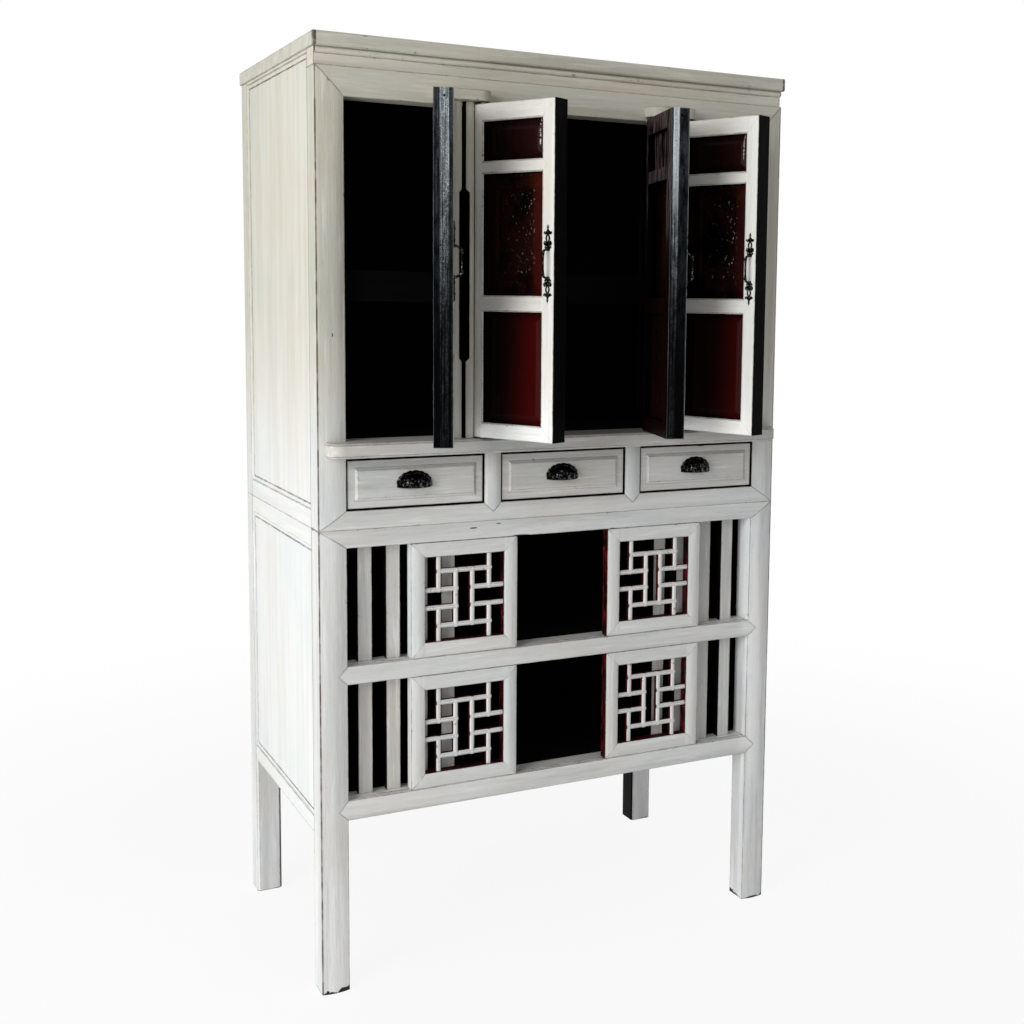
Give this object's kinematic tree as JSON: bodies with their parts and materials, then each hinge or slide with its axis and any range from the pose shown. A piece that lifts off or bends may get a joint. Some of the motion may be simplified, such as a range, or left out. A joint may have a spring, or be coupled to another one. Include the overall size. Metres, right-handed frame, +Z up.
{
  "type": "two-part kitchen cupboard",
  "caption": "Tall two-part kitchen cupboard with pivoting panelled doors, drawers, and sliding lattice doors between slats, on square legs.",
  "frame": {"origin": "on the floor, under the middle of the cupboard's outline as it stands with its doors open", "axes": "+X to the right seen from the front, +Y to the back, +Z up"},
  "size_m": [1.066, 0.817, 1.9],
  "materials": {
    "whitewashed_wood": "distressed whitewash over dark lacquer, worn through at the arrises",
    "red_lacquered_wood": "old red lacquer, semi-gloss",
    "carved_lacquered_wood": "carved relief in brown-red lacquer, glossy",
    "dark_interior_wood": "black-brown stain, dull",
    "black_iron": "blackened casting, semi-gloss"
  },
  "bodies": {
    "carcass": {"lower_posts_front": "whitewashed_wood", "lower_posts_back": "whitewashed_wood", "lower_top_rail": "whitewashed_wood", "lower_middle_rail": "whitewashed_wood", "lower_bottom_rail": "whitewashed_wood", "lower_side_rails": "whitewashed_wood", "lower_side_panels": "whitewashed_wood", "lower_back": "dark_interior_wood", "lower_slats": "whitewashed_wood", "lower_shelves": "dark_interior_wood", "upper_posts_front": "whitewashed_wood", "upper_posts_back": "whitewashed_wood", "upper_top_rail": "whitewashed_wood", "upper_bottom_rail": "whitewashed_wood", "upper_side_rails": "whitewashed_wood", "upper_side_panels": "whitewashed_wood", "upper_back": "dark_interior_wood", "cornice_frieze": "whitewashed_wood", "top_board": "whitewashed_wood", "sill": "whitewashed_wood", "pivot_blocks": "whitewashed_wood", "pivot_posts": "whitewashed_wood", "drawer_dividers": "whitewashed_wood", "drawer_deck": "dark_interior_wood", "cupboard_floor": "dark_interior_wood", "shelf": "dark_interior_wood"},
    "door_a": {"door_a_frame": "whitewashed_wood", "door_a_plain_panels": "red_lacquered_wood", "door_a_carved_panel": "carved_lacquered_wood", "door_a_pull": "black_iron"},
    "door_b": {"door_b_frame": "whitewashed_wood", "door_b_plain_panels": "red_lacquered_wood", "door_b_carved_panel": "carved_lacquered_wood", "door_b_pull": "black_iron"},
    "door_c": {"door_c_frame": "whitewashed_wood", "door_c_plain_panels": "red_lacquered_wood", "door_c_carved_panel": "carved_lacquered_wood", "door_c_pull": "black_iron"},
    "door_d": {"door_d_frame": "whitewashed_wood", "door_d_plain_panels": "red_lacquered_wood", "door_d_carved_panel": "carved_lacquered_wood", "door_d_pull": "black_iron"},
    "slider_lower_left": {"slider_lower_left_frame": "whitewashed_wood", "slider_lower_left_lattice": "whitewashed_wood"},
    "slider_lower_right": {"slider_lower_right_frame": "whitewashed_wood", "slider_lower_right_lattice": "whitewashed_wood"},
    "slider_upper_left": {"slider_upper_left_frame": "whitewashed_wood", "slider_upper_left_lattice": "whitewashed_wood"},
    "slider_upper_right": {"slider_upper_right_frame": "whitewashed_wood", "slider_upper_right_lattice": "whitewashed_wood"},
    "drawer_left": {"drawer_left_front": "whitewashed_wood", "drawer_left_box": "dark_interior_wood", "drawer_left_pull": "black_iron"},
    "drawer_middle": {"drawer_middle_front": "whitewashed_wood", "drawer_middle_box": "dark_interior_wood", "drawer_middle_pull": "black_iron"},
    "drawer_right": {"drawer_right_front": "whitewashed_wood", "drawer_right_box": "dark_interior_wood", "drawer_right_pull": "black_iron"}
  },
  "joints": [
    {"name": "door_a_pivot", "type": "hinge", "parent": "carcass", "child": "door_a", "pos_m": [-0.2785, -0.21652, 1.125], "axis": [0, 0, 1], "range_deg": [-68.5, 16.5]},
    {"name": "door_b_pivot", "type": "hinge", "parent": "carcass", "child": "door_b", "pos_m": [-0.1955, -0.21652, 1.125], "axis": [0, 0, -1], "range_deg": [-63, 22]},
    {"name": "door_c_pivot", "type": "hinge", "parent": "carcass", "child": "door_c", "pos_m": [0.1955, -0.21652, 1.125], "axis": [0, 0, 1], "range_deg": [-75.5, 9.5]},
    {"name": "door_d_pivot", "type": "hinge", "parent": "carcass", "child": "door_d", "pos_m": [0.2785, -0.21652, 1.125], "axis": [0, 0, -1], "range_deg": [-68, 17]},
    {"name": "slider_lower_left_run", "type": "slide", "parent": "carcass", "child": "slider_lower_left", "axis": [1, 0, 0], "range_m": [-0.1325, 0.1065]},
    {"name": "slider_lower_right_run", "type": "slide", "parent": "carcass", "child": "slider_lower_right", "axis": [-1, 0, 0], "range_m": [-0.1325, 0.1065]},
    {"name": "slider_upper_left_run", "type": "slide", "parent": "carcass", "child": "slider_upper_left", "axis": [1, 0, 0], "range_m": [-0.1325, 0.1065]},
    {"name": "slider_upper_right_run", "type": "slide", "parent": "carcass", "child": "slider_upper_right", "axis": [-1, 0, 0], "range_m": [-0.1325, 0.1065]},
    {"name": "drawer_left_run", "type": "slide", "parent": "carcass", "child": "drawer_left", "axis": [0, -1, 0], "range_m": [0, 0.35]},
    {"name": "drawer_middle_run", "type": "slide", "parent": "carcass", "child": "drawer_middle", "axis": [0, -1, 0], "range_m": [0, 0.35]},
    {"name": "drawer_right_run", "type": "slide", "parent": "carcass", "child": "drawer_right", "axis": [0, -1, 0], "range_m": [0, 0.35]}
  ]
}
